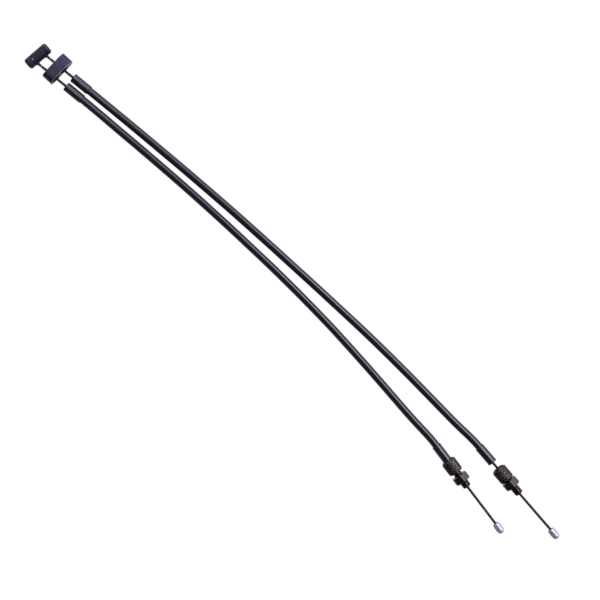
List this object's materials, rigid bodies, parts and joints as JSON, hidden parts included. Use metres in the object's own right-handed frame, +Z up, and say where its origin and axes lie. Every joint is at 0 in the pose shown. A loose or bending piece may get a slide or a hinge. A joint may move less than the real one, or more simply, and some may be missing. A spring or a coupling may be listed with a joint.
{
  "type": "twin control cable",
  "caption": "Twin Bowden control cable with a cross-bar anchor, a double housing stop, knurled barrel adjusters with lock nuts and cast barrel nipples.",
  "frame": {"origin": "middle of the cable's footprint, on the surface that it lies on", "axes": "+X along the cable from the cross-bar to the nipples, +Y towards the cable with the pulled-out adjuster, +Z up"},
  "size_m": [0.4719, 0.0638, 0.0116],
  "materials": {
    "bar_black": "satin black plating over the cast bar",
    "stop_black": "satin black coating with worn edges",
    "ferrule_black": "satin black",
    "jacket": "semi-gloss black extruded polymer",
    "core_steel": "bright flat wire",
    "liner_plastic": "natural low-friction plastic",
    "wire_steel": "dark greased strands",
    "adjuster_gunmetal": "dark bronze-toned plating",
    "nut_gunmetal": "dark bronze-toned plating",
    "nipple_zinc": "satin cast zinc"
  },
  "bodies": {
    "housings": {"long_jacket": "jacket", "long_spring_core": "core_steel", "long_liner": "liner_plastic", "long_core_wire": "wire_steel", "long_upper_ferrule": "ferrule_black", "short_jacket": "jacket", "short_spring_core": "core_steel", "short_liner": "liner_plastic", "short_core_wire": "wire_steel", "short_upper_ferrule": "ferrule_black"},
    "cross_bar": {"cross_bar": "bar_black", "long_upper_wire": "wire_steel", "short_upper_wire": "wire_steel"},
    "housing_stop": {"housing_stop": "stop_black"},
    "long_nipple": {"long_nipple": "nipple_zinc", "long_lower_wire": "wire_steel"},
    "long_lower_ferrule": {"long_lower_ferrule": "ferrule_black"},
    "long_adjuster": {"long_adjuster": "adjuster_gunmetal"},
    "long_lock_nut": {"long_lock_nut": "nut_gunmetal"},
    "short_nipple": {"short_nipple": "nipple_zinc", "short_lower_wire": "wire_steel"},
    "short_lower_ferrule": {"short_lower_ferrule": "ferrule_black"},
    "short_adjuster": {"short_adjuster": "adjuster_gunmetal"},
    "short_lock_nut": {"short_lock_nut": "nut_gunmetal"}
  },
  "joints": [
    {"name": "wire_pull", "type": "slide", "parent": "housings", "child": "cross_bar", "axis": [-1, 0, 0], "range_m": [-0.003, 0.012]},
    {"name": "stop_slide", "type": "slide", "parent": "housings", "child": "housing_stop", "axis": [1, 0, 0], "range_m": [-0.002, 0.012]},
    {"name": "long_nipple_slide", "type": "slide", "parent": "housings", "child": "long_nipple", "axis": [-0.9848, 0.1736, 0], "range_m": [-0.003, 0.012]},
    {"name": "long_adjuster_spin", "type": "hinge", "parent": "housings", "child": "long_lower_ferrule", "pos_m": [0.1711, 0.00195, 0.005], "axis": [0.9848, -0.1736, 0], "continuous": true},
    {"name": "long_adjuster_slide", "type": "slide", "parent": "long_lower_ferrule", "child": "long_adjuster", "axis": [0.9848, -0.1736, 0], "range_m": [-0.009, 0.005]},
    {"name": "long_lock_nut_turn", "type": "hinge", "parent": "long_adjuster", "child": "long_lock_nut", "pos_m": [0.1711, 0.00195, 0.005], "axis": [0.9848, -0.1736, 0], "continuous": true},
    {"name": "short_nipple_slide", "type": "slide", "parent": "housings", "child": "short_nipple", "axis": [-0.9724, 0.2334, 0], "range_m": [-0.003, 0.012]},
    {"name": "short_adjuster_spin", "type": "hinge", "parent": "housings", "child": "short_lower_ferrule", "pos_m": [0.1482, -0.0161, 0.005], "axis": [0.9724, -0.2334, 0], "continuous": true},
    {"name": "short_adjuster_slide", "type": "slide", "parent": "short_lower_ferrule", "child": "short_adjuster", "axis": [0.9724, -0.2334, 0], "range_m": [-0.003, 0.005]},
    {"name": "short_lock_nut_turn", "type": "hinge", "parent": "short_adjuster", "child": "short_lock_nut", "pos_m": [0.1482, -0.0161, 0.005], "axis": [0.9724, -0.2334, 0], "continuous": true}
  ],
  "couplings": [
    {"joint": "long_nipple_slide", "follows": "wire_pull", "ratio": 1},
    {"joint": "short_nipple_slide", "follows": "wire_pull", "ratio": 1}
  ]
}
